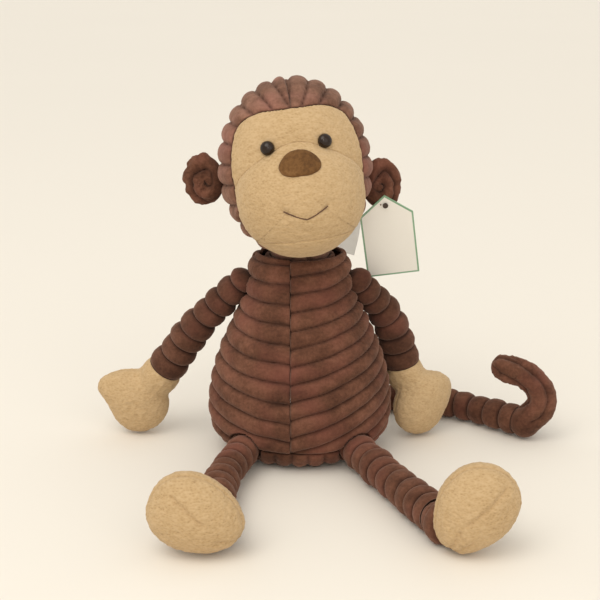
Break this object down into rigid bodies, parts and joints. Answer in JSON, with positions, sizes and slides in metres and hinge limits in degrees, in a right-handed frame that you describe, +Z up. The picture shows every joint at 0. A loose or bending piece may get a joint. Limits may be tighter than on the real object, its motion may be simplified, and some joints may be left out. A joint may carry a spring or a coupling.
{
  "type": "stuffed monkey",
  "caption": "Seated plush monkey sewn from wide-cord fabric with a fleece face, hands and feet, soft jointed limbs, a curling tail and a blank swing tag.",
  "frame": {"origin": "centre of the flat seat under the torso, on the surface that the toy sits on", "axes": "+Z up; the face looks along -Y; +X is the toy's own left side"},
  "size_m": [0.3068, 0.2398, 0.2434],
  "materials": {
    "cord_plush": "velvety wide-cord pile",
    "tan_fleece": "short looped fleece",
    "fibre_filling": "loose polyester fibre",
    "pellet_filling": "plastic pellets in a cloth bag",
    "nose_suede": "brushed suede cloth",
    "mouth_thread": "twisted embroidery thread",
    "eye_plastic": "polished dark brown",
    "washer_plastic": "moulded",
    "tag_card": "uncoated card with a printed green border",
    "clear_nylon": "clear moulded nylon",
    "label_satin": "satin ribbon"
  },
  "bodies": {
    "torso": {"torso_base": "cord_plush", "torso_front_left": "cord_plush", "torso_front_right": "cord_plush", "torso_back_left": "cord_plush", "torso_back_right": "cord_plush", "torso_stuffing": "fibre_filling", "bean_bag": "pellet_filling", "care_label": "label_satin"},
    "neck": {"neck_seam": "cord_plush"},
    "head": {"crown_left": "cord_plush", "crown_right": "cord_plush", "face_panel": "tan_fleece", "muzzle_panel": "tan_fleece", "chin_panel": "tan_fleece", "head_stuffing": "fibre_filling", "nose_patch": "nose_suede", "mouth_stitch": "mouth_thread", "left_eye": "eye_plastic", "right_eye": "eye_plastic", "left_eye_washer": "washer_plastic", "right_eye_washer": "washer_plastic"},
    "left_ear": {"left_ear_front": "cord_plush", "left_ear_back": "cord_plush", "left_ear_padding": "fibre_filling", "tag_fastener": "clear_nylon"},
    "right_ear": {"right_ear_front": "cord_plush", "right_ear_back": "cord_plush", "right_ear_padding": "fibre_filling"},
    "hang_tag": {"hang_tag": "tag_card"},
    "left_arm": {"left_arm_sleeve": "cord_plush", "left_arm_stuffing": "fibre_filling"},
    "left_hand": {"left_hand_palm": "tan_fleece", "left_hand_back": "tan_fleece", "left_hand_stuffing": "fibre_filling"},
    "left_leg": {"left_leg_sleeve": "cord_plush", "left_leg_stuffing": "fibre_filling"},
    "left_foot": {"left_foot_sole": "tan_fleece", "left_foot_upper": "tan_fleece", "left_foot_beans": "pellet_filling"},
    "right_arm": {"right_arm_sleeve": "cord_plush", "right_arm_stuffing": "fibre_filling"},
    "right_hand": {"right_hand_palm": "tan_fleece", "right_hand_back": "tan_fleece", "right_hand_stuffing": "fibre_filling"},
    "right_leg": {"right_leg_sleeve": "cord_plush", "right_leg_stuffing": "fibre_filling"},
    "right_foot": {"right_foot_sole": "tan_fleece", "right_foot_upper": "tan_fleece", "right_foot_beans": "pellet_filling"},
    "tail_base": {"tail_base_sleeve": "cord_plush", "tail_base_stuffing": "fibre_filling"},
    "tail_tip": {"tail_tip_sleeve": "cord_plush", "tail_tip_stuffing": "fibre_filling"}
  },
  "joints": [
    {"name": "head_turn", "type": "hinge", "parent": "torso", "child": "neck", "pos_m": [0, 0.003, 0.148], "axis": [0, 0, 1], "range_deg": [-5, 20], "stiffness_Nm_per_rad": 0.4},
    {"name": "head_nod", "type": "hinge", "parent": "neck", "child": "head", "pos_m": [0, 0.003, 0.148], "axis": [1, 0, 0], "range_deg": [-5, 12], "stiffness_Nm_per_rad": 0.6, "springref_deg": -0.86},
    {"name": "left_ear_fold", "type": "hinge", "parent": "head", "child": "left_ear", "pos_m": [0.0386, 0.01, 0.1746], "axis": [-0.1199, 0.077, 0.9898], "range_deg": [-20, 20], "stiffness_Nm_per_rad": 0.03},
    {"name": "right_ear_fold", "type": "hinge", "parent": "head", "child": "right_ear", "pos_m": [-0.0473, 0.004, 0.1818], "axis": [-0.1199, 0.077, 0.9898], "range_deg": [-20, 20], "stiffness_Nm_per_rad": 0.03},
    {"name": "tag_swing", "type": "hinge", "parent": "left_ear", "child": "hang_tag", "pos_m": [0.054, 0.0055, 0.164], "axis": [0, -0.9613, -0.2756], "range_deg": [-8, 40]},
    {"name": "left_shoulder_swing", "type": "hinge", "parent": "torso", "child": "left_arm", "pos_m": [0.038, 0.002, 0.114], "axis": [-0.9205, -0.3907, 0], "range_deg": [0, 100]},
    {"name": "right_shoulder_swing", "type": "hinge", "parent": "torso", "child": "right_arm", "pos_m": [-0.038, 0.002, 0.114], "axis": [-0.9205, 0.3907, 0], "range_deg": [0, 100]},
    {"name": "left_wrist_flex", "type": "hinge", "parent": "left_arm", "child": "left_hand", "pos_m": [0.07, 0.024, 0.045], "axis": [-1, 0, 0], "range_deg": [-12, 45], "stiffness_Nm_per_rad": 0.05},
    {"name": "right_wrist_flex", "type": "hinge", "parent": "right_arm", "child": "right_hand", "pos_m": [-0.094, 0.023, 0.043], "axis": [-1, 0, 0], "range_deg": [-12, 45], "stiffness_Nm_per_rad": 0.05},
    {"name": "left_hip_lift", "type": "hinge", "parent": "torso", "child": "left_leg", "pos_m": [0.036, -0.034, 0.0135], "axis": [-0.9107, -0.4131, 0], "range_deg": [-60, 10]},
    {"name": "right_hip_lift", "type": "hinge", "parent": "torso", "child": "right_leg", "pos_m": [-0.036, -0.034, 0.0135], "axis": [-0.9927, 0.1203, 0], "range_deg": [-60, 10]},
    {"name": "left_ankle_flex", "type": "hinge", "parent": "left_leg", "child": "left_foot", "pos_m": [0.08, -0.131, 0.0126], "axis": [-0.9107, -0.4131, 0], "range_deg": [-15, 15], "stiffness_Nm_per_rad": 0.08},
    {"name": "right_ankle_flex", "type": "hinge", "parent": "right_leg", "child": "right_foot", "pos_m": [-0.048, -0.133, 0.0126], "axis": [-0.9927, 0.1203, 0], "range_deg": [-15, 15], "stiffness_Nm_per_rad": 0.08},
    {"name": "tail_swing", "type": "hinge", "parent": "torso", "child": "tail_base", "pos_m": [0, 0.049, 0.019], "axis": [0, 0, 1], "range_deg": [-4, 45]},
    {"name": "tail_curl", "type": "hinge", "parent": "tail_base", "child": "tail_tip", "pos_m": [0.152, 0.016, 0.0115], "axis": [0, 1, 0], "range_deg": [-5, 40], "stiffness_Nm_per_rad": 0.1}
  ]
}
